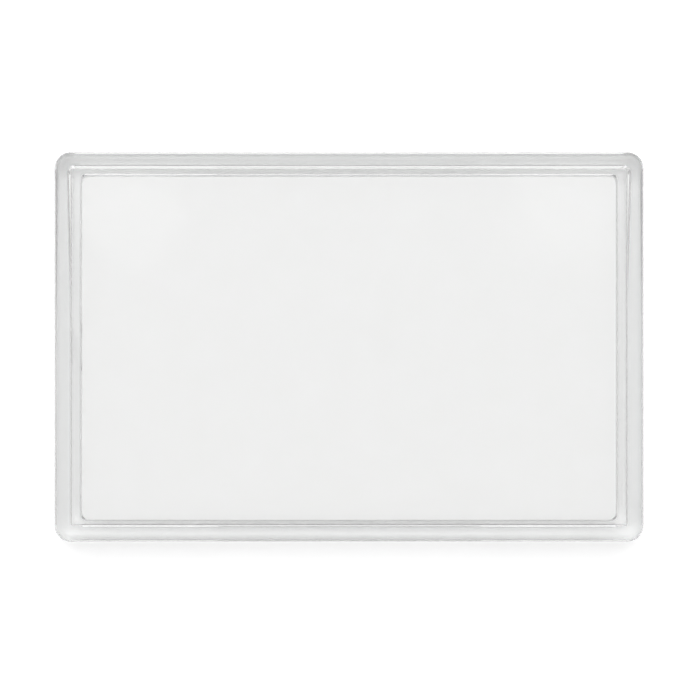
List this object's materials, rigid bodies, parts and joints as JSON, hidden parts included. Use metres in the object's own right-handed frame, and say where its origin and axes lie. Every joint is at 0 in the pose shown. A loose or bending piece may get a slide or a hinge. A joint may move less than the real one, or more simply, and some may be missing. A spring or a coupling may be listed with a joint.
{
  "type": "magnetic photo frame",
  "caption": "Clear snap-together frame for a small landscape card, with a flexible magnet taped into its back; the cover lifts off to change the card.",
  "frame": {"origin": "the middle of the magnet's back face, which is the lowest face when the frame lies on its back", "axes": "+X along the card's long side, to the right seen from the front; +Y up the card; +Z from the magnet towards the window"},
  "size_m": [0.0772, 0.0512, 0.006],
  "materials": {
    "clear_cover": "polished clear polystyrene",
    "clear_tray": "polished clear polystyrene",
    "card": "matt uncoated card, blank",
    "tape": "double-sided adhesive film",
    "magnet_sheet": "rolled ferrite-filled rubber sheet"
  },
  "bodies": {
    "tray": {"back_tray": "clear_tray", "adhesive_tape": "tape", "magnet": "magnet_sheet"},
    "cover": {"front_cover": "clear_cover"},
    "card": {"picture_card": "card"}
  },
  "joints": [
    {"name": "cover_lift", "type": "slide", "parent": "tray", "child": "cover", "axis": [0, 0, 1], "range_m": [0, 0.024]},
    {"name": "card_lift", "type": "slide", "parent": "tray", "child": "card", "axis": [0, 0, 1], "range_m": [0, 0.012]}
  ],
  "couplings": [
    {"joint": "card_lift", "follows": "cover_lift", "ratio": 0.5}
  ]
}
